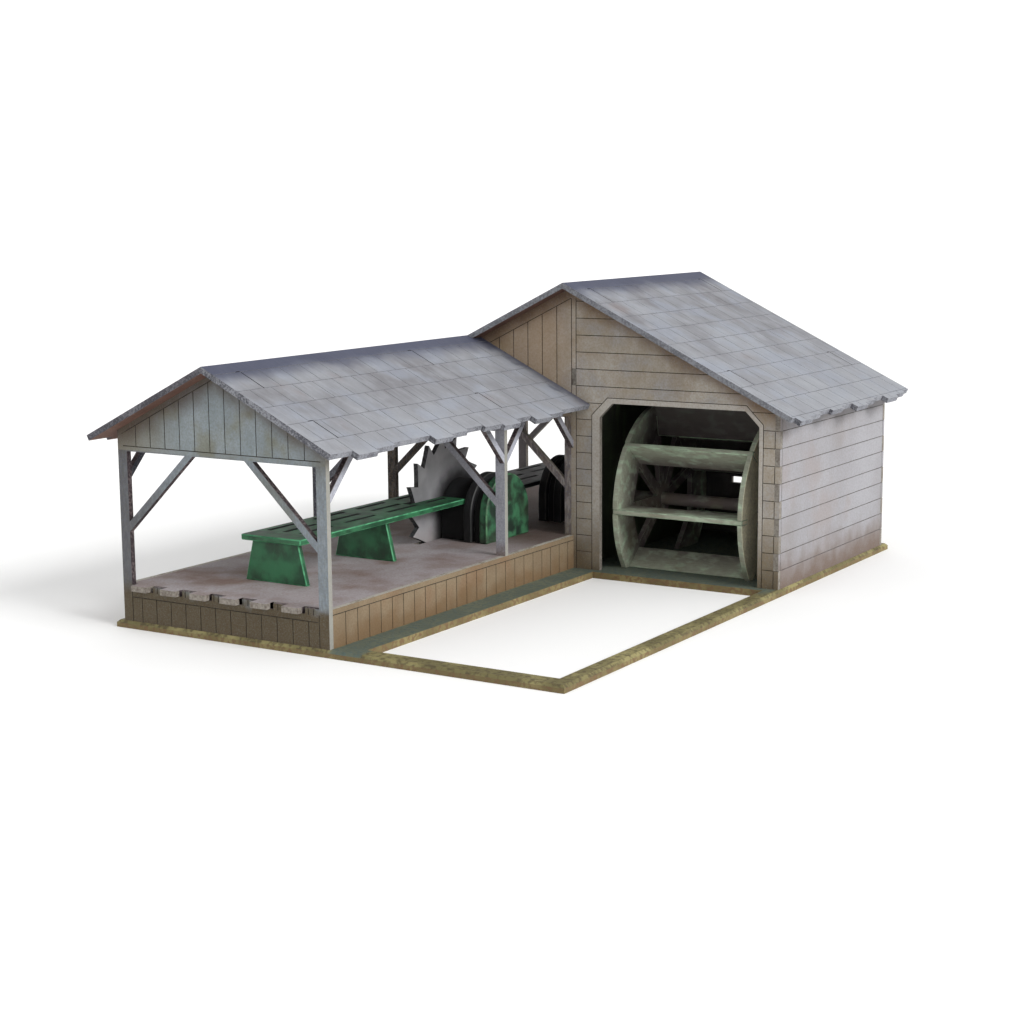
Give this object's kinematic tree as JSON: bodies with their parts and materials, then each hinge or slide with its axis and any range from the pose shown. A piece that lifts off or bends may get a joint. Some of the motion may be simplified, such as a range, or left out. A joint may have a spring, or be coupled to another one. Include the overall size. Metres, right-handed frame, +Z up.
{
  "type": "sawmill",
  "caption": "Tabletop model of a water-powered sawmill: an open shed with a toothed saw blade, and a taller wheel house with a paddle wheel over a pond cut-out.",
  "frame": {"origin": "middle of the underside of the base plate", "axes": "+Z up; +Y into the depth, from the open gable end of the shed towards the taller block; +X to the right seen from the gable end, towards the water wheel"},
  "size_m": [0.196, 0.2775, 0.1142],
  "materials": {
    "base_board": "painted, weathered olive and brown",
    "floor_board": "painted, weathered grey planks",
    "frame_board": "painted, weathered grey-brown",
    "wall_board": "painted, weathered grey-beige",
    "roof_boards": "painted, weathered grey",
    "wheel_board": "painted dark brown with green edges",
    "bench_board": "painted dark green with pale edges",
    "housing_board": "painted near black with green edges",
    "blade_board": "painted dull metal grey"
  },
  "bodies": {
    "root": {"base_plate": "base_board", "blade_guard": "housing_board", "block_back_wall": "wall_board", "block_former_front": "frame_board", "block_former_rear": "frame_board", "block_front_wall": "wall_board", "block_roof_left": "roof_boards", "block_roof_right": "roof_boards", "drive_housing": "housing_board", "drive_plate_left": "housing_board", "drive_plate_right": "housing_board", "front_frame": "frame_board", "left_eave_rail": "frame_board", "left_skirt": "frame_board", "middle_frame": "frame_board", "platform_floor": "floor_board", "rear_bench_leg_front": "bench_board", "rear_bench_leg_rear": "bench_board", "rear_bench_top": "bench_board", "rear_housing": "housing_board", "rear_plate_left": "housing_board", "rear_plate_right": "housing_board", "right_eave_rail": "frame_board", "right_skirt": "frame_board", "saw_bench_leg_front": "bench_board", "saw_bench_leg_rear": "bench_board", "saw_bench_top": "bench_board", "saw_blade": "blade_board", "shed_former_front": "frame_board", "shed_former_rear": "frame_board", "shed_roof_left": "roof_boards", "shed_roof_right": "roof_boards", "wheel_axle": "wheel_board", "wheel_house_inner_wall": "wall_board", "wheel_house_side_wall": "wall_board", "wheel_paddle_1": "wheel_board", "wheel_paddle_2": "wheel_board", "wheel_paddle_3": "wheel_board", "wheel_paddle_4": "wheel_board", "wheel_paddle_5": "wheel_board", "wheel_paddle_6": "wheel_board", "wheel_paddle_7": "wheel_board", "wheel_rim_left": "wheel_board", "wheel_rim_right": "wheel_board"}
  },
  "joints": []
}
